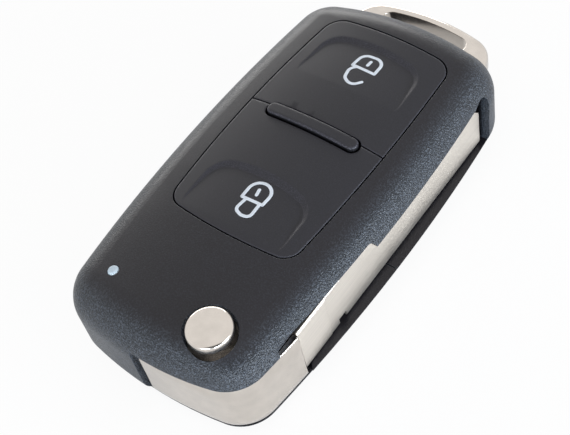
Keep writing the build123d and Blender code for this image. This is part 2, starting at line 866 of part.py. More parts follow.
with BuildPart() as key_blade:
    with BuildSketch(Plane.XZ.offset(-blade_root)) as blade_section:
        with Locations((blade_middle, blade_centre)):
            Rectangle(blade_thickness, blade_height)
        chamfer(blade_section.vertices(), blade_edge)
    extrude(amount=-(blade_tip - blade_root))
    # Bevelled and rounded tip, and the nick in the lower edge
    with BuildSketch(Plane.YZ) as blade_side_view:
        with BuildLine():
            Polyline(
                (blade_root, blade_lift),
                (blade_tip, blade_lift),
                (blade_tip, blade_top - tip_bevel_height),
                (blade_tip - tip_bevel_length, blade_top),
                (blade_root, blade_top),
                close=True,
            )
        make_face()
        fillet(blade_side_view.vertices().group_by(Axis.X)[-1], tip_round)
        with Locations((blade_root + nick_from_root + nick_length / 2, blade_lift)):
            Rectangle(nick_length, 2 * nick_depth, mode=Mode.SUBTRACT)
    extrude(amount=beyond, mode=Mode.INTERSECT)
    # Step between the shoulder and the rest of the outer face
    with BuildSketch(Plane.YZ.offset(blade_outer - shoulder_step)):
        with Locations((blade_root + shoulder_length + blade_length / 2, blade_centre)):
            Rectangle(blade_length, blade_height)
    extrude(amount=shoulder_step, mode=Mode.SUBTRACT)
    with BuildSketch(Plane.XZ.offset(-blade_root)):
        with Locations((blade_middle, blade_centre)):
            Rectangle(blade_thickness, tang_height)
    extrude(amount=tang_length - tang_fit)
    with BuildSketch(Plane.YZ.offset(blade_inner)):
        with Locations((pin_y, blade_centre)):
            Circle(pin_radius + pin_fit)
    extrude(amount=blade_thickness, mode=Mode.SUBTRACT)
key_blade.part.label = "key_blade"
export_step(key_blade.part, "parts/key_blade.step")

with BuildPart() as blade_pin:
    with BuildSketch(Plane.YZ.offset(pin_end - pin_length)):
        with Locations((pin_y, blade_centre)):
            Circle(pin_radius)
            Circle(pin_bore, mode=Mode.SUBTRACT)
            Rectangle(pin_slit, 2 * pin_radius, align=(Align.CENTER, Align.MIN), mode=Mode.SUBTRACT)
    extrude(amount=pin_length)
blade_pin.part.label = "blade_pin"
export_step(blade_pin.part, "parts/blade_pin.step")

# Release button, its spring and the foot of the spring

with BuildPart() as release_button:
    cap_rim = hinge_surface + cap_proud - cap_dome
    with BuildSketch(Plane.XZ.offset(-hinge_y)):
        with BuildLine():
            side = Polyline(
                (hinge_across, catch_bottom - stem_length),
                (hinge_across + stem_radius, catch_bottom - stem_length),
                (hinge_across + stem_radius, catch_bottom),
                (hinge_across + catch_radius, catch_bottom),
                (hinge_across + catch_radius, catch_top),
                (hinge_across + cap_radius, catch_top),
                (hinge_across + cap_radius, cap_rim),
            )
            crown = Spline(side @ 1, (hinge_across, cap_rim + cap_dome), tangents=[(0, 1), (-1, 0)])
            Line(crown @ 1, side @ 0)
        make_face()
    revolve(axis=Axis((hinge_across, hinge_y, 0), (0, 0, 1)))
    with BuildSketch(Plane.XY.offset(catch_bottom)):
        with Locations(hinge_place):
            with PolarLocations(0, lug_count, lug_turn):
                Rectangle(catch_radius + lug_reach, lug_width, align=(Align.MIN, Align.CENTER))
            Circle(stem_radius, mode=Mode.SUBTRACT)
    extrude(amount=catch_height)
    with BuildSketch(Plane.XY.offset(catch_bottom)):
        with Locations((hinge_across + spring_radius, hinge_y)):
            Circle(spring_wire / 2 + spring_leg_fit)
    extrude(amount=spring_leg + spring_wire, mode=Mode.SUBTRACT)
release_button.part.label = "release_button"
export_step(release_button.part, "parts/release_button.step")

with BuildPart() as flip_spring:
    spring_rise = spring_top - spring_bottom
    spring_start = (hinge_across, hinge_y, spring_bottom)
    with BuildLine() as spring_path:
        Helix(spring_rise / spring_turns, spring_rise, spring_radius, center=spring_start)
    with BuildSketch(Plane(spring_path.line @ 0, z_dir=spring_path.line % 0)):
        Circle(spring_wire / 2)
    sweep(is_frenet=True)
    # Straight legs into the foot and into the catch
    with BuildSketch(Plane.XY.offset(spring_bottom - spring_leg)):
        with Locations((hinge_across + spring_radius, hinge_y)):
            Circle(spring_wire / 2)
    extrude(amount=spring_leg)
    with BuildSketch(Plane.XY.offset(spring_top)):
        with Locations((hinge_across + spring_radius, hinge_y)):
            Circle(spring_wire / 2)
    extrude(amount=spring_leg)
flip_spring.part.label = "flip_spring"
export_step(flip_spring.part, "parts/flip_spring.step")

with BuildPart() as spring_foot:
    with BuildSketch(Plane.XY.offset(pocket_floor)):
        with Locations(hinge_place):
            Circle(foot_radius)
    extrude(amount=foot_height)
    with BuildSketch(Plane.XY.offset(foot_top)):
        with Locations(hinge_place):
            Circle(spigot_radius)
    extrude(amount=spigot_height)
    with BuildSketch(Plane.XY.offset(pocket_floor - foot_key_depth)):
        with Locations((hinge_across + foot_key_across, hinge_y)):
            Circle(foot_key_radius)
    extrude(amount=foot_key_depth)
    with BuildSketch(Plane.XY.offset(pocket_floor)):
        with Locations(hinge_place):
            Circle(screw_radius + screw_fit)
        with Locations((hinge_across + spring_radius, hinge_y)):
            Circle(spring_wire / 2 + spring_leg_fit)
    extrude(amount=foot_height + spigot_height, mode=Mode.SUBTRACT)
spring_foot.part.label = "spring_foot"
export_step(spring_foot.part, "parts/spring_foot.step")


def self_tapping_screw(place, seat, length):
    """Pan-head screw pointing up, with its head below seat and a cross drive."""
    with BuildPart() as screw:
        with BuildSketch(Plane.XY.offset(seat - screw_head_height)):
            with Locations(place):
                Circle(screw_head_radius)
        extrude(amount=screw_head_height)
        with BuildSketch(Plane.XY.offset(seat)):
            with Locations(place):
                Circle(screw_radius)
        extrude(amount=length)
        with BuildSketch(Plane.XY.offset(seat - screw_head_height)):
            with Locations(place):
                Rectangle(drive_length, drive_width)
                Rectangle(drive_width, drive_length)
        extrude(amount=drive_depth, mode=Mode.SUBTRACT)
    return screw.part


pivot_screw_seat = screw_head_height + screw_head_room
pivot_screw = self_tapping_screw(hinge_place, pivot_screw_seat, pivot_screw_length)
pivot_screw.label = "pivot_screw"
export_step(pivot_screw, "parts/pivot_screw.step")

case_screw_hinge = self_tapping_screw(hinge_boss, case_screw_seat, case_screw_length)
case_screw_hinge.label = "case_screw_hinge"
export_step(case_screw_hinge, "parts/case_screw_hinge.step")

case_screw_side = self_tapping_screw(side_boss, case_screw_seat, case_screw_length)
case_screw_side.label = "case_screw_side"
export_step(case_screw_side, "parts/case_screw_side.step")
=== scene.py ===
"""Flip-blade key fob shell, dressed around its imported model.

Metres, in the model's own frame: the fob lies on its back at z = 0 with the buttons up, +Y runs
from the flip hinge to the key-ring loop and +X points to the side of the folded blade.
"""

import math

import bmesh
import bpy
from bpy.props import FloatProperty, FloatVectorProperty, PointerProperty
from mathutils import Matrix, Vector


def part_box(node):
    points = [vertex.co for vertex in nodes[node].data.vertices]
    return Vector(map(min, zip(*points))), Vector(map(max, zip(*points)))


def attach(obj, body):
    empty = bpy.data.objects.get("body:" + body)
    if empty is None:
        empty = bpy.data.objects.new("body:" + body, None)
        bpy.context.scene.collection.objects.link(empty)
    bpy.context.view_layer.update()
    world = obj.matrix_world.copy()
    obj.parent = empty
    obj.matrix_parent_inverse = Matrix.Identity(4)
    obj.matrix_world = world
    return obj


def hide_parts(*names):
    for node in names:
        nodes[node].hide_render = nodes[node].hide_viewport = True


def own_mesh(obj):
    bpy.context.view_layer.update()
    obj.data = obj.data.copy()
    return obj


bl_info = {
    "name": "Key Fob Shell",
    "version": (1, 0, 0),
    "blender": (4, 5, 0),
    "location": "View3D > Sidebar > Key Fob",
    "description": "Dresses the packed key fob shell, prints its icons and sets its stage",
    "category": "Object",
}

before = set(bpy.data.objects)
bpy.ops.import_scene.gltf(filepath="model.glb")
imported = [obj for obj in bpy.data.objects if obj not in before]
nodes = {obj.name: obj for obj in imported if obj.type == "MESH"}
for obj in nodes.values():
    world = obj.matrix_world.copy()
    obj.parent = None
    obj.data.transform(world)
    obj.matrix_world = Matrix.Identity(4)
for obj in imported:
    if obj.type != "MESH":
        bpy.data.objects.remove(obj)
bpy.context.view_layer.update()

MM = 0.001

# An edge of a piece made here is sharp from this angle on, and points this near are one.
SHARP = math.radians(30)
SAME_PLACE = 1e-6

# Release button's cap: how deep it is made anew, its rounded rim, the dome on top, how far round
# the rim turns, and the steps of each curve and sides of the whole
CAP_SIGHT = 0.0035
CAP_ROUND = 0.0006
CAP_DOME = 0.00025
CAP_TURN = math.radians(81)
CAP_STEPS = 10
CAP_SIDES = 96

# The mat's halves: each half has its joint, and the way along Y from the middle in which the rest
# is cut off.
MAT_HALVES = ("lock_mat", "lock_press", 1), ("unlock_mat", "unlock_press", -1)
MAT_MIDDLE = 0.0047

# Oval just inside the case's outline, within which a steep face is an inner wall. The mask fades
# towards the oval's edge, and with the height of the face's normal.
OUTLINE_WIDTH = 0.0362
OUTLINE_LENGTH = 0.069
OVAL_FADE = 0.80, 0.88
STEEP_FADE = 0.2, 0.4

# Height of a face's normal where the outside starts to round off, and the fall to the full texture
# and the lighter rim colour, which is partly painted highlight
ROUND_START = 0.975
ROUND_FALL = 0.2

# Values of the textures between which the masks rise: flecks, patches, specks of dust, edges and
# the lay of ground metal. The specks are so many times finer than the patches.
FLECK_RANGE = 0.45, 0.72
PATCH_RANGE = 0.35, 0.65
SPECK_RANGE = 0.03, 0.06
EDGE_RANGE = 0.9, 0.99
LAY_RANGE = 0.3, 0.7
SPECKS_PER_PATCH = 5

# Moulded plastic: gloss, the texture and painted glints left on the flats, how much and how light
# the painted glints on its flecks are, how light the painted highlight on its edges and on the
# buttons' roundings is, how dark the painted shade on the inner walls is, and the dust
PLASTIC_GLOSS = 0.34
FLAT_GLINT = 0.15
FLAT_RELIEF = 0.12
GLINT_SHARE = 0.65
GLINT_LIGHT = 6
EDGE_HIGHLIGHT_SHARE = 0.3
BUTTON_RIM_HIGHLIGHT = 1.3
INNER_PAINTED_SHADE = 0.25
DUST_SHARE = 0.03
DUST_COLOUR = (0.4, 0.4, 0.4)

# Metal and ink: their darker and lighter tones, and the share of a metal's gloss that its lay has
METAL_TONES = 0.94, 1.04
INK_TONES = 0.93, 1.04
LAY_SHARE = 0.55

# Finishes that have no setting of their own
STEEL_COLOUR = (0.55, 0.55, 0.56)
PIPE_COLOUR = (0.50, 0.60, 0.68)
PIPE_TONES = (0.46, 0.56, 0.64), (0.54, 0.63, 0.70)
PIPE_DEPTH = 0.0006

# The camera stands where the fitted view of the photograph has it. The width of the frame and the
# focal length are in pixels.
FRAME_WIDTH = 570
FOCAL_PIXELS = 1200
SENSOR_WIDTH = 36.0
CAMERA_PLACE = Vector((80.35, -76.96, 147.78)) * MM
CAMERA_RIGHT = Vector((0.79667, 0.58426, -0.15476))
CAMERA_DOWN = Vector((0.40356, -0.70481, -0.58342))
CAMERA_FORWARD = Vector((-0.44995, 0.40234, -0.79729))

# Room in the gloss: the way to its dark corner, how near to it the room turns dark, and how dark
DARK_CORNER = Vector((0.64, -0.56, 0.53))
DARK_EDGE = 0.80
DARK_CORE = 0.93
DARK_TONE = 0.06

# Paper of the floor, and the share of plain white that it shows straight and in gloss
PAPER = (0.86, 0.86, 0.86)
PAPER_TONES = (0.85, 0.85, 0.85), (0.87, 0.87, 0.87)
WHITE_STRAIGHT = 0.92
WHITE_MIRRORED = 0.3

# The icons' strokes are drawn on a plane at this height, in steps of this length. They are round,
# with so many sides, and each of their corners is rounded in so many steps.
PRINT_HEIGHT = 0.03
STROKE_STEP = 0.0002
STROKE_SIDES = 16
BEND_STEPS = 8

# Strokes of the two icons: how far the corners are rounded, and the places in the plan, all in
# millimetres. The base comes first, then the body, the keyhole and the shackle.
CLOSED_PADLOCK = (
    (0.0, ((-0.83, -11.14), (2.61, -10.94))),
    (1.75, ((-0.83, -11.14), (-0.98, -7.55), (2.72, -7.8), (2.61, -10.94))),
    (0.0, ((0.63, -8.98), (0.83, -9.93))),
    (0.8, ((-0.05, -11.1), (-0.3, -13.38), (1.01, -13.84), (2.36, -13.63), (2.2, -11.0))),
)
OPEN_PADLOCK = (
    (0.0, ((-1.25, 16.89), (2.67, 16.82))),
    (1.4, ((-1.25, 16.89), (-1.05, 19.6), (2.6, 19.84), (2.67, 16.82))),
    (0.0, ((0.81, 18.71), (0.78, 17.88))),
    (1.2, ((-0.37, 16.87), (-1.25, 16.1), (-0.81, 14.1), (0.91, 13.13), (2.0, 14.52))),
)

# Soft lamps: way from the fob, width, height, share of the power, colour
LAMP_DISTANCE = 0.6
LAMPS = (
    ("right_window", (0.97, 0.08, 0.15), 0.34, 0.10, 3.6, (0.80, 0.90, 1.0)),
    ("near_window", (0.28, -0.95, 0.12), 0.30, 0.09, 2.2, (0.80, 0.90, 1.0)),
    ("corner_window", (0.84, -0.50, 0.10), 0.25, 0.08, 1.6, (0.80, 0.90, 1.0)),
    ("left_softbox", (-0.70, 0.62, 0.16), 0.60, 0.20, 1.7, (1.0, 0.99, 0.97)),
)


class FobFinish(bpy.types.PropertyGroup):
    """Colours and grain of the finishes."""

    case_colour: FloatVectorProperty(
        name="Case",
        description="Colour of the moulded case",
        subtype="COLOR",
        size=3,
        min=0,
        max=1,
        default=(0.0118, 0.0105, 0.0138),
    )
    # Lighter and bluer than the case: partly its coarser texture, partly a painted highlight where
    # the case rounds off
    rim_colour_and_highlight: FloatVectorProperty(
        name="Case rim",
        description="Colour of the case where it rounds off, with its coarser texture",
        subtype="COLOR",
        size=3,
        min=0,
        max=1,
        default=(0.0165, 0.019, 0.0235),
    )
    button_colour: FloatVectorProperty(
        name="Buttons",
        description="Colour of the two push buttons and the bar",
        subtype="COLOR",
        size=3,
        min=0,
        max=1,
        default=(0.0145, 0.0140, 0.0180),
    )
    nickel_colour: FloatVectorProperty(
        name="Nickel plate",
        description="Colour of the plated head, release button and loop",
        subtype="COLOR",
        size=3,
        min=0,
        max=1,
        default=(0.68, 0.625, 0.57),
    )
    blade_colour: FloatVectorProperty(
        name="Blade",
        description="Colour of the blank blade",
        subtype="COLOR",
        size=3,
        min=0,
        max=1,
        default=(0.80, 0.74, 0.67),
    )
    rubber_colour: FloatVectorProperty(
        name="Keypad",
        description="Colour of the silicone keypad mat",
        subtype="COLOR",
        size=3,
        min=0,
        max=1,
        default=(0.16, 0.16, 0.17),
    )
    ink_colour: FloatVectorProperty(
        name="Icon ink",
        description="Colour of the pad-printed icons",
        subtype="COLOR",
        size=3,
        min=0,
        max=1,
        default=(0.70, 0.75, 0.82),
    )
    stroke_width: FloatProperty(
        name="Icon stroke",
        description="Width of the icons' strokes",
        subtype="DISTANCE",
        unit="LENGTH",
        min=0.0001,
        max=0.002,
        precision=5,
        default=0.0005,
    )
    ink_thickness: FloatProperty(
        name="Ink thickness",
        description="How far the printed ink stands above the cap",
        subtype="DISTANCE",
        unit="LENGTH",
        min=0.000005,
        max=0.0002,
        precision=6,
        default=0.00003,
    )
    case_grain: FloatProperty(
        name="Case grain",
        description="Width of one grain of the case's spark-eroded texture",
        subtype="DISTANCE",
        unit="LENGTH",
        min=0.00005,
        max=0.001,
        precision=5,
        default=0.00022,
    )
    button_grain: FloatProperty(
        name="Button grain",
        description="Width of one grain of the buttons' finer texture",
        subtype="DISTANCE",
        unit="LENGTH",
        min=0.00005,
        max=0.001,
        precision=5,
        default=0.00014,
    )


class FobStage(bpy.types.PropertyGroup):
    """Floor and light."""

    floor_size: FloatProperty(
        name="Floor",
        description="Width of the pale floor",
        subtype="DISTANCE",
        unit="LENGTH",
        min=0.5,
        max=20,
        default=4.0,
    )
    fill_strength: FloatProperty(
        name="Room light",
        description="Strength of the even light from all around",
        min=0,
        max=5,
        default=0.72,
    )
    lamp_power: FloatProperty(
        name="Lamps",
        description="Power of a soft lamp whose share is 1",
        subtype="POWER",
        unit="POWER",
        min=0,
        max=20,
        default=0.9,
    )


def settings():
    """Settings of this scene, finish first and stage second."""
    scene = bpy.context.scene
    return scene.fob_finish, scene.fob_stage


def node_group(name, inputs, outputs):
    """Empty shader node group with named float sockets, or vectors where the name says Normal."""
    group = bpy.data.node_groups.new(name, "ShaderNodeTree")
    for way, sockets in (("INPUT", inputs), ("OUTPUT", outputs)):
        for label in sockets:
            kind = "NodeSocketVector" if "Normal" in label else "NodeSocketFloat"
            group.interface.new_socket(name=label, in_out=way, socket_type=kind)
    entry = group.nodes.new("NodeGroupInput")
    leave = group.nodes.new("NodeGroupOutput")
    return group, entry, leave


def math_node(tree, operation, first, second):
    """Math node of two inputs, each a number or a socket."""
    node = tree.nodes.new("ShaderNodeMath")
    node.operation = operation
    for socket, value in zip(node.inputs, (first, second)):
        if isinstance(value, (int, float)):
            socket.default_value = value
        else:
            tree.links.new(value, socket)
    return node.outputs[0]


def ranged(tree, value, low, high, to_low, to_high):
    """Value carried from one range to another and clamped to it."""
    node = tree.nodes.new("ShaderNodeMapRange")
    tree.links.new(value, node.inputs["Value"])
    limits = {"From Min": low, "From Max": high, "To Min": to_low, "To Max": to_high}
    for label, number in limits.items():
        node.inputs[label].default_value = number
    return node.outputs["Result"]


def grain_group():
    """Spark-eroded texture of a moulding tool: fine pits with softer waves under them."""
    group, entry, leave = node_group("Moulded grain", ["Cells per metre"], ["Height", "Fleck"])
    place = group.nodes.new("ShaderNodeTexCoord").outputs["Object"]
    pits = group.nodes.new("ShaderNodeTexVoronoi")
    pits.feature = "SMOOTH_F1"
    pits.inputs["Smoothness"].default_value = 0.6
    waves = group.nodes.new("ShaderNodeTexNoise")
    waves.inputs["Detail"].default_value = 3
    for texture in (pits, waves):
        group.links.new(place, texture.inputs["Vector"])
        group.links.new(entry.outputs["Cells per metre"], texture.inputs["Scale"])
    height = math_node(group, "ADD", pits.outputs["Distance"], waves.outputs["Fac"])
    group.links.new(height, leave.inputs["Height"])
    fleck_and_glint = ranged(group, waves.outputs["Fac"], *FLECK_RANGE, 0, 1)
    group.links.new(fleck_and_glint, leave.inputs["Fleck"])
    return group


def marks_group():
    """Faint uneven gloss over a handled surface, with a few dust specks."""
    group, entry, leave = node_group("Handling marks", ["Patches per metre"], ["Patch", "Dust"])
    place = group.nodes.new("ShaderNodeTexCoord").outputs["Object"]
    patches = group.nodes.new("ShaderNodeTexNoise")
    patches.inputs["Detail"].default_value = 4
    patches.inputs["Distortion"].default_value = 0.6
    specks = group.nodes.new("ShaderNodeTexVoronoi")
    scale = entry.outputs["Patches per metre"]
    speck_scale = math_node(group, "MULTIPLY", scale, SPECKS_PER_PATCH)
    group.links.new(place, patches.inputs["Vector"])
    group.links.new(place, specks.inputs["Vector"])
    group.links.new(scale, patches.inputs["Scale"])
    group.links.new(speck_scale, specks.inputs["Scale"])
    patch = ranged(group, patches.outputs["Fac"], *PATCH_RANGE, 0, 1)
    group.links.new(patch, leave.inputs["Patch"])
    dust = ranged(group, specks.outputs["Distance"], *SPECK_RANGE, 1, 0)
    group.links.new(dust, leave.inputs["Dust"])
    return group


def edge_group():
    """Softly rounded edges, and a mask that is 1 along them."""
    group, entry, leave = node_group("Rounded edge", ["Radius"], ["Edge", "Soft Normal"])
    bevel = group.nodes.new("ShaderNodeBevel")
    bevel.samples = 6
    group.links.new(entry.outputs["Radius"], bevel.inputs["Radius"])
    plain = group.nodes.new("ShaderNodeNewGeometry")
    turn = group.nodes.new("ShaderNodeVectorMath")
    turn.operation = "DOT_PRODUCT"
    group.links.new(bevel.outputs["Normal"], turn.inputs[0])
    group.links.new(plain.outputs["Normal"], turn.inputs[1])
    edge = ranged(group, turn.outputs["Value"], *EDGE_RANGE, 1, 0)
    group.links.new(edge, leave.inputs["Edge"])
    group.links.new(bevel.outputs["Normal"], leave.inputs["Soft Normal"])
    return group


def slope_group():
    """Masks that are 1 where the outside rounds off, and on steep walls inside the outline."""
    group, entry, leave = node_group("Slope", ["Width"], ["Slope", "Inner"])
    place = group.nodes.new("ShaderNodeTexCoord")
    parts = group.nodes.new("ShaderNodeSeparateXYZ")
    group.links.new(place.outputs["Normal"], parts.inputs[0])
    fall = math_node(group, "SUBTRACT", ROUND_START, parts.outputs["Z"])
    share = math_node(group, "DIVIDE", fall, entry.outputs["Width"])
    spot = group.nodes.new("ShaderNodeSeparateXYZ")
    group.links.new(place.outputs["Object"], spot.inputs[0])
    reach = []
    for axis, half in (("X", OUTLINE_WIDTH / 2), ("Y", OUTLINE_LENGTH / 2)):
        part = math_node(group, "DIVIDE", spot.outputs[axis], half)
        square = math_node(group, "MULTIPLY", part, part)
        reach.append(math_node(group, "MULTIPLY", square, square))
    inside = ranged(group, math_node(group, "ADD", *reach), *OVAL_FADE, 1, 0)
    steep = ranged(group, parts.outputs["Z"], *STEEP_FADE, 1, 0)
    inner = math_node(group, "MULTIPLY", inside, steep)
    outer = math_node(group, "SUBTRACT", ranged(group, share, 0, 1, 0, 1), inner)
    group.links.new(ranged(group, outer, 0, 1, 0, 1), leave.inputs["Slope"])
    group.links.new(inner, leave.inputs["Inner"])
    return group


class Surface:
    """Material being built, with its shader and the shared groups at hand."""

    groups = {}

    def __init__(self, name, metallic, roughness, colour):
        self.material = bpy.data.materials.new(name)
        self.material.use_nodes = True
        self.material.diffuse_color = (*colour, 1)
        self.tree = self.material.node_tree
        self.shader = self.tree.nodes["Principled BSDF"]
        self.shader.inputs["Metallic"].default_value = metallic
        self.shader.inputs["Roughness"].default_value = roughness
        self.shader.inputs["Base Color"].default_value = (*colour, 1)

    def group(self, make, label, value):
        """Place a shared group and set its one input."""
        if make.__name__ not in Surface.groups:
            Surface.groups[make.__name__] = make()
        node = self.tree.nodes.new("ShaderNodeGroup")
        node.node_tree = Surface.groups[make.__name__]
        node.inputs[label].default_value = value
        return node.outputs

    def mix_colour(self, share, first, second):
        """Colour between two, by a mask, into the shader."""
        mix = self.tree.nodes.new("ShaderNodeMix")
        mix.data_type = "RGBA"
        self.tree.links.new(share, mix.inputs["Factor"])
        for label, colour in (("A", first), ("B", second)):
            socket = [s for s in mix.inputs if s.name == label and s.type == "RGBA"][0]
            if isinstance(colour, bpy.types.NodeSocket):
                self.tree.links.new(colour, socket)
            else:
                socket.default_value = (*colour, 1)
        colour_out = [s for s in mix.outputs if s.type == "RGBA"][0]
        self.tree.links.new(colour_out, self.shader.inputs["Base Color"])
        return colour_out

    def roughness(self, value, low, high):
        """Roughness from low to high as the value runs from 0 to 1."""
        rough = ranged(self.tree, value, 0, 1, low, high)
        self.tree.links.new(rough, self.shader.inputs["Roughness"])

    def bump(self, height, depth, under):
        """Bump of a given depth in metres over another normal."""
        node = self.tree.nodes.new("ShaderNodeBump")
        node.inputs["Distance"].default_value = depth
        self.tree.links.new(height, node.inputs["Height"])
        self.tree.links.new(under, node.inputs["Normal"])
        self.tree.links.new(node.outputs["Normal"], self.shader.inputs["Normal"])


def shaded(colour, factor):
    """Colour made darker or lighter by a factor."""
    return tuple(min(1, channel * factor) for channel in colour)


def moulded_plastic(name, flat, rim, grain, depth, rough, edge_radius):
    """Black moulded plastic, smooth where it looks up and spark-eroded where it rounds off, lighter
    there partly by painted highlight, with painted glints, painted edge highlight and painted shade
    on inner walls.
    """
    surface = Surface(name, metallic=0, roughness=rough[0], colour=flat)
    tree = surface.tree
    surface.shader.inputs["Specular IOR Level"].default_value = PLASTIC_GLOSS
    grain_out = surface.group(grain_group, "Cells per metre", 1 / grain)
    marks = surface.group(marks_group, "Patches per metre", 90)
    edge = surface.group(edge_group, "Radius", edge_radius)
    form = surface.group(slope_group, "Width", ROUND_FALL)
    slope = form["Slope"]

    # Flecks of the grain are painted lighter, most where the case rounds off: painted glints
    glint_reach = math_node(tree, "ADD", slope, FLAT_GLINT)
    fleck_and_glint = math_node(tree, "MULTIPLY", grain_out["Fleck"], glint_reach)
    # Roundings take the rim colour: partly the coarser texture, partly painted highlight
    ground = surface.mix_colour(slope, flat, rim)
    # Steep walls inside the outline are painted darker: painted shade in the slots and recesses
    ground = surface.mix_colour(form["Inner"], ground, shaded(flat, INNER_PAINTED_SHADE))
    # Painted highlight along the rounded edges
    edge_highlight = math_node(tree, "MULTIPLY", edge["Edge"], EDGE_HIGHLIGHT_SHARE)
    # Painted glints on the flecks and painted highlight along the edges lighten the colour
    tone = math_node(tree, "ADD", math_node(tree, "MULTIPLY", fleck_and_glint, GLINT_SHARE), edge_highlight)
    ground = surface.mix_colour(tone, ground, shaded(rim, GLINT_LIGHT))
    dust = math_node(tree, "MULTIPLY", marks["Dust"], DUST_SHARE)
    surface.mix_colour(dust, ground, DUST_COLOUR)

    grained = math_node(tree, "MULTIPLY", grain_out["Fleck"], 0.5)
    handled = math_node(tree, "MULTIPLY", marks["Patch"], 0.5)
    surface.roughness(math_node(tree, "ADD", grained, handled), *rough)
    relieved = math_node(tree, "ADD", slope, FLAT_RELIEF)
    relief = math_node(tree, "MULTIPLY", grain_out["Height"], relieved)
    surface.bump(relief, depth, edge["Soft Normal"])
    return surface.material


def satin_metal(name, colour, grain, depth, rough, edge_radius, stretch=(1, 1, 1)):
    """Plated or ground metal whose fine lay may be stretched along the part."""
    surface = Surface(name, metallic=1, roughness=rough[0], colour=colour)
    tree = surface.tree
    place = tree.nodes.new("ShaderNodeTexCoord").outputs["Object"]
    lay = tree.nodes.new("ShaderNodeMapping")
    lay.inputs["Scale"].default_value = stretch
    tree.links.new(place, lay.inputs["Vector"])
    lines = tree.nodes.new("ShaderNodeTexNoise")
    lines.inputs["Scale"].default_value = 1 / grain
    lines.inputs["Detail"].default_value = 4
    tree.links.new(lay.outputs["Vector"], lines.inputs["Vector"])
    marks = surface.group(marks_group, "Patches per metre", 120)
    edge = surface.group(edge_group, "Radius", edge_radius)
    tone = ranged(tree, lines.outputs["Fac"], *LAY_RANGE, 0, 1)
    surface.mix_colour(tone, *(shaded(colour, factor) for factor in METAL_TONES))
    laid = math_node(tree, "MULTIPLY", tone, LAY_SHARE)
    handled = math_node(tree, "MULTIPLY", marks["Patch"], 1 - LAY_SHARE)
    surface.roughness(math_node(tree, "ADD", laid, handled), *rough)
    surface.bump(lines.outputs["Fac"], depth, edge["Soft Normal"])
    return surface.material


def milky_plastic(name):
    """Pale blue milky plastic of the light pipe."""
    surface = Surface(name, metallic=0, roughness=0.3, colour=PIPE_COLOUR)
    marks = surface.group(marks_group, "Patches per metre", 900)
    surface.mix_colour(marks["Patch"], *PIPE_TONES)
    surface.roughness(marks["Patch"], low=0.25, high=0.4)
    surface.shader.inputs["Subsurface Weight"].default_value = 0.2
    surface.shader.inputs["Subsurface Radius"].default_value = (PIPE_DEPTH,) * 3
    return surface.material


def printed_ink(name, colour):
    """Matt pad-printed ink, a little thinner in places."""
    surface = Surface(name, metallic=0, roughness=0.55, colour=colour)
    marks = surface.group(marks_group, "Patches per metre", 1500)
    surface.mix_colour(marks["Patch"], *(shaded(colour, factor) for factor in INK_TONES))
    surface.roughness(marks["Patch"], low=0.5, high=0.65)
    return surface.material


def dress(names, material):
    """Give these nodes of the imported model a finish."""
    for name in names:
        for place in nodes[name].material_slots:
            place.material = material


def merged(node):
    """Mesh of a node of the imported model, for editing, with its loose triangles joined."""
    made = bmesh.new()
    made.from_mesh(nodes[node].data)
    bmesh.ops.remove_doubles(made, verts=made.verts, dist=SAME_PLACE)
    return made


def cut_off(made, place, way):
    """Cut away what lies past a plane, on the side that it faces, and close the cut."""
    everything = made.verts[:] + made.edges[:] + made.faces[:]
    bmesh.ops.bisect_plane(made, geom=everything, plane_co=place, plane_no=way, clear_outer=True)
    bmesh.ops.holes_fill(made, edges=[edge for edge in made.edges if edge.is_boundary])


def shown(made, name, material, body, node):
    """Object of an edited mesh that stands for a node and moves with a body."""
    for edge in made.edges:
        edge.smooth = edge.calc_face_angle(0) < SHARP
    for face in made.faces:
        face.smooth = True
    mesh = bpy.data.meshes.new(name)
    made.to_mesh(mesh)
    made.free()
    mesh.materials.append(material)
    piece = bpy.data.objects.new(name, mesh)
    bpy.context.scene.collection.objects.link(piece)
    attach(piece, body)
    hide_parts(node)
    return piece


def turned_cap(name, material):
    """Release button whose cap has a fully rounded rim, on the lugs and stem of the CAD node."""
    low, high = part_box("release_button")
    top = high[2]
    foot = top - CAP_SIGHT
    centre = (low[0] + high[0]) / 2, (low[1] + high[1]) / 2
    seen = [v.co.x for v in nodes["release_button"].data.vertices if v.co.z > foot]
    radius = max(seen) - centre[0]
    rim = top - CAP_DOME - CAP_ROUND
    profile = [(radius, foot), (radius, rim)]
    for step in range(1, CAP_STEPS + 1):
        turn = CAP_TURN * step / CAP_STEPS
        inset = CAP_ROUND * (1 - math.cos(turn))
        profile.append((radius - inset, rim + CAP_ROUND * math.sin(turn)))
    edge_radius, edge_height = profile[-1]
    for step in range(1, CAP_STEPS):
        share = 1 - step / CAP_STEPS
        profile.append((edge_radius * share, top - (top - edge_height) * share**2))

    made = merged("release_button")
    cut_off(made, (0, 0, foot), (0, 0, 1))
    rings = []
    for reach, height in profile:
        ring = []
        for number in range(CAP_SIDES):
            turn = 2 * math.pi * number / CAP_SIDES
            place = (centre[0] + reach * math.cos(turn), centre[1] + reach * math.sin(turn), height)
            ring.append(made.verts.new(place))
        rings.append(ring)
    for lower, upper in zip(rings, rings[1:]):
        for number in range(CAP_SIDES):
            after = (number + 1) % CAP_SIDES
            made.faces.new((lower[number], lower[after], upper[after], upper[number]))
    made.faces.new(reversed(rings[0]))
    crest = made.verts.new((*centre, top))
    for number in range(CAP_SIDES):
        after = (number + 1) % CAP_SIDES
        made.faces.new((rings[-1][number], rings[-1][after], crest))
    shown(made, name, material, "release", "release_button")


class OBJECT_OT_fob_case(bpy.types.Operator):
    """Finish the front shell, the rear shell and the battery cover"""

    bl_idname = "object.fob_case"
    bl_label = "Dress the case"

    def execute(self, context):
        finish, _ = settings()
        plastic = moulded_plastic(
            "case_plastic",
            finish.case_colour,
            finish.rim_colour_and_highlight,
            finish.case_grain,
            depth=0.00008,
            rough=(0.29, 0.41),
            edge_radius=0.00012,
        )
        dress(["front_shell", "rear_shell", "battery_cover"], plastic)
        return {"FINISHED"}


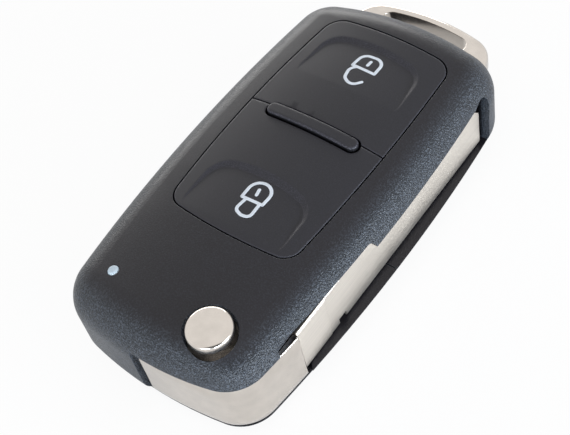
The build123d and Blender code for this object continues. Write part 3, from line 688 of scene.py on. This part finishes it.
class OBJECT_OT_fob_buttons(bpy.types.Operator):
    """Finish the two push buttons, the bar, the mat and the light pipe"""

    bl_idname = "object.fob_buttons"
    bl_label = "Dress the buttons"

    def execute(self, context):
        finish, _ = settings()
        plastic = moulded_plastic(
            "button_plastic",
            finish.button_colour,
            # The buttons' roundings are painted lighter: painted highlight
            shaded(finish.button_colour, BUTTON_RIM_HIGHLIGHT),
            finish.button_grain,
            depth=0.000012,
            rough=(0.42, 0.54),
            edge_radius=0.0004,
        )
        dress(["lock_button", "unlock_button", "centre_bar"], plastic)
        rubber = moulded_plastic(
            "silicone_rubber",
            finish.rubber_colour,
            finish.rubber_colour,
            finish.button_grain,
            depth=0.00001,
            rough=(0.6, 0.75),
            edge_radius=0.0001,
        )
        for name, joint, way in MAT_HALVES:
            half = merged("keypad_mat")
            cut_off(half, (0, MAT_MIDDLE, 0), (0, way, 0))
            piece = shown(half, name, rubber, "case", "keypad_mat")
            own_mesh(piece)
        dress(["light_pipe"], milky_plastic("light_plastic"))
        return {"FINISHED"}


class OBJECT_OT_fob_metal(bpy.types.Operator):
    """Finish the head, the blade, the release button, the loop, the spring and the screws"""

    bl_idname = "object.fob_metal"
    bl_label = "Dress the metal"

    def execute(self, context):
        finish, _ = settings()
        nickel = satin_metal(
            "satin_nickel",
            finish.nickel_colour,
            grain=0.002,
            depth=0.000001,
            rough=(0.09, 0.16),
            edge_radius=0.0002,
        )
        dress(["blade_head", "key_ring_loop"], nickel)
        turned = satin_metal(
            "polished_nickel",
            finish.nickel_colour,
            grain=0.002,
            depth=0.000001,
            rough=(0.15, 0.21),
            edge_radius=0.00015,
        )
        turned_cap("release_cap", turned)
        ground = satin_metal(
            "ground_blade",
            finish.blade_colour,
            grain=0.0004,
            depth=0.000002,
            rough=(0.36, 0.44),
            edge_radius=0.00012,
            stretch=(2, 0.05, 2),
        )
        dress(["key_blade"], ground)
        steel = satin_metal(
            "drawn_steel",
            STEEL_COLOUR,
            grain=0.0002,
            depth=0.000004,
            rough=(0.25, 0.4),
            edge_radius=0.00008,
        )
        dress(["blade_pin", "pivot_screw", "case_screw_hinge", "case_screw_side"], steel)
        wire = merged("flip_spring")
        coil = shown(wire, "flip_coil", steel, "case", "flip_spring")
        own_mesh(coil)
        plastic = moulded_plastic(
            "foot_plastic",
            finish.case_colour,
            finish.rim_colour_and_highlight,
            finish.button_grain,
            depth=0.00001,
            rough=(0.4, 0.5),
            edge_radius=0.0001,
        )
        dress(["spring_foot"], plastic)
        return {"FINISHED"}


def strokes_mesh(name, strokes):
    """Edges of an icon's strokes in the plan, with how far each stroke's corners are rounded."""
    points = []
    edges = []
    bends = []
    for bend, stroke in strokes:
        first = len(points)
        points += [(x * MM, y * MM, PRINT_HEIGHT) for x, y in stroke]
        edges += [(number, number + 1) for number in range(first, len(points) - 1)]
        bends += [bend * MM] * len(stroke)
    mesh = bpy.data.meshes.new(name)
    mesh.from_pydata(points, edges, [])
    mesh.attributes.new("bend", "FLOAT", "POINT").data.foreach_set("value", bends)
    return mesh


def pad_print_tree():
    """Geometry Nodes tree that prints strokes on a cap: round ones, pressed flat on its surface."""
    tree = bpy.data.node_groups.new("Pad print", "GeometryNodeTree")
    for label, kind in (
        ("Strokes", "NodeSocketGeometry"),
        ("Stroke width", "NodeSocketFloat"),
        ("Ink thickness", "NodeSocketFloat"),
        ("Step", "NodeSocketFloat"),
        ("Cap", "NodeSocketObject"),
        ("Ink", "NodeSocketMaterial"),
    ):
        tree.interface.new_socket(name=label, in_out="INPUT", socket_type=kind)
    tree.interface.new_socket(name="Print", in_out="OUTPUT", socket_type="NodeSocketGeometry")
    entry = tree.nodes.new("NodeGroupInput")
    leave = tree.nodes.new("NodeGroupOutput")
    node = tree.nodes.new
    link = tree.links.new

    lines = node("GeometryNodeMeshToCurve")
    link(entry.outputs["Strokes"], lines.inputs["Mesh"])
    rounded = node("GeometryNodeFilletCurve")
    rounded.mode = "POLY"
    rounded.inputs["Count"].default_value = BEND_STEPS
    rounded.inputs["Limit Radius"].default_value = True
    link(lines.outputs["Curve"], rounded.inputs["Curve"])
    bend = node("GeometryNodeInputNamedAttribute")
    bend.data_type = "FLOAT"
    bend.inputs["Name"].default_value = "bend"
    link(bend.outputs["Attribute"], rounded.inputs["Radius"])
    stepped = node("GeometryNodeResampleCurve")
    stepped.mode = "LENGTH"
    link(rounded.outputs["Curve"], stepped.inputs["Curve"])
    link(entry.outputs["Step"], stepped.inputs["Length"])
    radius = math_node(tree, "MULTIPLY", entry.outputs["Stroke width"], 0.5)

    # Round strokes, with a ball at each open end
    profile = node("GeometryNodeCurvePrimitiveCircle")
    profile.inputs["Resolution"].default_value = STROKE_SIDES
    link(radius, profile.inputs["Radius"])
    tube = node("GeometryNodeCurveToMesh")
    tube.inputs["Fill Caps"].default_value = True
    link(stepped.outputs["Curve"], tube.inputs["Curve"])
    link(profile.outputs["Curve"], tube.inputs["Profile Curve"])
    ball = node("GeometryNodeMeshUVSphere")
    ball.inputs["Segments"].default_value = STROKE_SIDES
    ball.inputs["Rings"].default_value = STROKE_SIDES // 2
    link(radius, ball.inputs["Radius"])
    ends = node("GeometryNodeCurveEndpointSelection")
    balls = node("GeometryNodeInstanceOnPoints")
    link(stepped.outputs["Curve"], balls.inputs["Points"])
    link(ends.outputs["Selection"], balls.inputs["Selection"])
    link(ball.outputs["Mesh"], balls.inputs["Instance"])
    solid = node("GeometryNodeRealizeInstances")
    link(balls.outputs["Instances"], solid.inputs["Geometry"])
    joined = node("GeometryNodeJoinGeometry")
    link(tube.outputs["Mesh"], joined.inputs["Geometry"])
    link(solid.outputs["Geometry"], joined.inputs["Geometry"])

    # Every point goes straight down on to the cap, and its height above the print's plane shrinks
    # to the thickness of the ink
    place = node("GeometryNodeInputPosition")
    parts = node("ShaderNodeSeparateXYZ")
    link(place.outputs["Position"], parts.inputs[0])
    above = node("ShaderNodeCombineXYZ")
    link(parts.outputs["X"], above.inputs["X"])
    link(parts.outputs["Y"], above.inputs["Y"])
    above.inputs["Z"].default_value = PRINT_HEIGHT
    cap = node("GeometryNodeObjectInfo")
    cap.transform_space = "RELATIVE"
    link(entry.outputs["Cap"], cap.inputs["Object"])
    ray = node("GeometryNodeRaycast")
    ray.inputs["Ray Direction"].default_value = (0, 0, -1)
    ray.inputs["Ray Length"].default_value = 1
    link(cap.outputs["Geometry"], ray.inputs["Target Geometry"])
    link(above.outputs["Vector"], ray.inputs["Source Position"])
    height = math_node(tree, "SUBTRACT", parts.outputs["Z"], PRINT_HEIGHT)
    share = math_node(tree, "DIVIDE", height, entry.outputs["Stroke width"])
    share = math_node(tree, "ADD", share, 0.5)
    lift = math_node(tree, "MULTIPLY", share, entry.outputs["Ink thickness"])
    raised = node("ShaderNodeVectorMath")
    raised.operation = "SCALE"
    link(ray.outputs["Hit Normal"], raised.inputs[0])
    link(lift, raised.inputs["Scale"])
    pressed = node("ShaderNodeVectorMath")
    pressed.operation = "ADD"
    link(ray.outputs["Hit Position"], pressed.inputs[0])
    link(raised.outputs["Vector"], pressed.inputs[1])
    settle = node("GeometryNodeSetPosition")
    link(joined.outputs["Geometry"], settle.inputs["Geometry"])
    link(pressed.outputs["Vector"], settle.inputs["Position"])

    flat = node("GeometryNodeRealizeInstances")
    link(settle.outputs["Geometry"], flat.inputs["Geometry"])
    inked = node("GeometryNodeSetMaterial")
    link(flat.outputs["Geometry"], inked.inputs["Geometry"])
    link(entry.outputs["Ink"], inked.inputs["Material"])
    link(inked.outputs["Geometry"], leave.inputs["Print"])
    return tree


def printed_icon(name, strokes, cap, body, tree, values):
    """Print an icon's strokes on a cap and let it move with the cap's body."""
    stand_in = bpy.data.objects.new(name + "_strokes", strokes_mesh(name + "_strokes", strokes))
    bpy.context.scene.collection.objects.link(stand_in)
    modifier = stand_in.modifiers.new("Pad print", "NODES")
    modifier.node_group = tree
    identifiers = {item.name: item.identifier for item in tree.interface.items_tree}
    for label, value in {**values, "Cap": cap}.items():
        modifier[identifiers[label]] = value
    evaluated = stand_in.evaluated_get(bpy.context.evaluated_depsgraph_get())
    mesh = bpy.data.meshes.new_from_object(evaluated)
    if not mesh.polygons:
        raise RuntimeError(f"{name} printed nothing on {cap.name}")
    mesh.name = name
    stand_in.modifiers.remove(modifier)
    bpy.data.objects.remove(stand_in)
    icon = bpy.data.objects.new(name, mesh)
    bpy.context.scene.collection.objects.link(icon)
    for polygon in mesh.polygons:
        polygon.use_smooth = True
    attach(icon, body)


class OBJECT_OT_fob_icons(bpy.types.Operator):
    """Print the padlock icons on the two buttons"""

    bl_idname = "object.fob_icons"
    bl_label = "Print the icons"

    def execute(self, context):
        finish, _ = settings()
        tree = pad_print_tree()
        values = {
            "Stroke width": finish.stroke_width,
            "Ink thickness": finish.ink_thickness,
            "Step": STROKE_STEP,
            "Ink": printed_ink("icon_ink", finish.ink_colour),
        }
        printed_icon("lock_icon", CLOSED_PADLOCK, nodes["lock_button"], "lock", tree, values)
        printed_icon("unlock_icon", OPEN_PADLOCK, nodes["unlock_button"], "unlock", tree, values)
        return {"FINISHED"}


def area_light(name, place, width, height, power, colour):
    """Rectangular soft light that faces the origin."""
    data = bpy.data.lights.new(name, "AREA")
    data.shape = "RECTANGLE"
    data.size = width
    data.size_y = height
    data.energy = power
    data.color = colour
    light = bpy.data.objects.new(name, data)
    bpy.context.scene.collection.objects.link(light)
    light.location = place
    light.rotation_euler = (-place).to_track_quat("-Z", "Y").to_euler()


def seen_straight(tree, rays):
    """1 for rays that show a surface straight or through something clear."""
    return math_node(
        tree, "MAXIMUM", rays.outputs["Is Camera Ray"], rays.outputs["Is Transmission Ray"]
    )


def white_to_camera(tree, shader):
    """Mix a shader with white for camera and transmission rays, and less so for glossy rays."""
    rays = tree.nodes.new("ShaderNodeLightPath")
    straight = math_node(tree, "MULTIPLY", seen_straight(tree, rays), WHITE_STRAIGHT)
    mirrored = math_node(tree, "MULTIPLY", rays.outputs["Is Glossy Ray"], WHITE_MIRRORED)
    white = tree.nodes.new("ShaderNodeEmission")
    white.inputs["Strength"].default_value = 1.0
    mix = tree.nodes.new("ShaderNodeMixShader")
    tree.links.new(math_node(tree, "MAXIMUM", straight, mirrored), mix.inputs["Fac"])
    tree.links.new(shader, mix.inputs[1])
    tree.links.new(white.outputs[0], mix.inputs[2])
    return mix.outputs[0]


def room_tone(tree):
    """Brightness of the room that shows in gloss: white, with a dark corner behind the camera."""
    way = tree.nodes.new("ShaderNodeTexCoord").outputs["Generated"]
    towards = tree.nodes.new("ShaderNodeVectorMath")
    towards.operation = "DOT_PRODUCT"
    tree.links.new(way, towards.inputs[0])
    towards.inputs[1].default_value = DARK_CORNER
    return ranged(tree, towards.outputs["Value"], DARK_EDGE, DARK_CORE, 1.0, DARK_TONE)


class OBJECT_OT_fob_stage(bpy.types.Operator):
    """Set the floor, the world, the soft lights and the camera"""

    bl_idname = "object.fob_stage"
    bl_label = "Set the stage"

    def execute(self, context):
        _, stage = settings()
        scene = context.scene
        half = stage.floor_size / 2
        corners = [(-half, -half, 0), (half, -half, 0), (half, half, 0), (-half, half, 0)]
        mesh = bpy.data.meshes.new("floor")
        mesh.from_pydata(corners, [], [(0, 1, 2, 3)])
        floor = bpy.data.objects.new("floor", mesh)
        scene.collection.objects.link(floor)
        paper = Surface("pale_paper", metallic=0, roughness=0.9, colour=PAPER)
        marks = paper.group(marks_group, "Patches per metre", 4)
        paper.mix_colour(marks["Patch"], *PAPER_TONES)
        leave = paper.tree.nodes["Material Output"]
        mixed = white_to_camera(paper.tree, paper.shader.outputs[0])
        paper.tree.links.new(mixed, leave.inputs["Surface"])
        mesh.materials.append(paper.material)

        world = bpy.data.worlds.new("studio")
        world.use_nodes = True
        scene.world = world
        tree = world.node_tree
        sky = tree.nodes["Background"]
        sky.inputs["Color"].default_value = (1, 1, 1, 1)
        sky.inputs["Strength"].default_value = stage.fill_strength
        mirrored = tree.nodes.new("ShaderNodeBackground")
        tree.links.new(room_tone(tree), mirrored.inputs["Color"])
        rays = tree.nodes.new("ShaderNodeLightPath")
        glossy = tree.nodes.new("ShaderNodeMixShader")
        tree.links.new(rays.outputs["Is Glossy Ray"], glossy.inputs["Fac"])
        tree.links.new(sky.outputs[0], glossy.inputs[1])
        tree.links.new(mirrored.outputs[0], glossy.inputs[2])
        white = tree.nodes.new("ShaderNodeBackground")
        white.inputs["Color"].default_value = (1, 1, 1, 1)
        seen = tree.nodes.new("ShaderNodeMixShader")
        tree.links.new(seen_straight(tree, rays), seen.inputs["Fac"])
        tree.links.new(glossy.outputs[0], seen.inputs[1])
        tree.links.new(white.outputs[0], seen.inputs[2])
        tree.links.new(seen.outputs[0], tree.nodes["World Output"].inputs["Surface"])

        for name, way, width, height, share, colour in LAMPS:
            place = Vector(way).normalized() * LAMP_DISTANCE
            area_light(name, place, width, height, stage.lamp_power * share, colour)

        data = bpy.data.cameras.new("camera")
        data.sensor_width = SENSOR_WIDTH
        data.lens = FOCAL_PIXELS / FRAME_WIDTH * SENSOR_WIDTH
        data.clip_start = 0.01
        data.clip_end = 10
        camera = bpy.data.objects.new("camera", data)
        scene.collection.objects.link(camera)
        turn = Matrix((CAMERA_RIGHT, -CAMERA_DOWN, -CAMERA_FORWARD)).transposed()
        camera.matrix_world = Matrix.Translation(CAMERA_PLACE) @ turn.to_4x4()
        scene.camera = camera
        scene.view_settings.view_transform = "Standard"
        return {"FINISHED"}


OPERATORS = (
    OBJECT_OT_fob_case,
    OBJECT_OT_fob_buttons,
    OBJECT_OT_fob_metal,
    OBJECT_OT_fob_icons,
    OBJECT_OT_fob_stage,
)


class VIEW3D_PT_fob(bpy.types.Panel):
    """Steps and settings of the key fob."""

    bl_idname = "VIEW3D_PT_fob"
    bl_label = "Key Fob"
    bl_space_type = "VIEW_3D"
    bl_region_type = "UI"
    bl_category = "Key Fob"

    def draw(self, context):
        layout = self.layout
        for operator in OPERATORS:
            layout.operator(operator.bl_idname)
        for group in settings():
            for name in group.bl_rna.properties.keys():
                if name not in ("rna_type", "name"):
                    layout.prop(group, name)


def register():
    for group in (FobFinish, FobStage):
        bpy.utils.register_class(group)
    bpy.types.Scene.fob_finish = PointerProperty(type=FobFinish)
    bpy.types.Scene.fob_stage = PointerProperty(type=FobStage)
    for operator in OPERATORS:
        bpy.utils.register_class(operator)
    bpy.utils.register_class(VIEW3D_PT_fob)


def unregister():
    bpy.utils.unregister_class(VIEW3D_PT_fob)
    for operator in reversed(OPERATORS):
        bpy.utils.unregister_class(operator)
    del bpy.types.Scene.fob_stage
    del bpy.types.Scene.fob_finish
    for group in (FobStage, FobFinish):
        bpy.utils.unregister_class(group)


def main():
    register()
    bpy.ops.object.fob_case()
    bpy.ops.object.fob_buttons()
    bpy.ops.object.fob_metal()
    bpy.ops.object.fob_icons()
    bpy.ops.object.fob_stage()


if __name__ == "__main__":
    main()
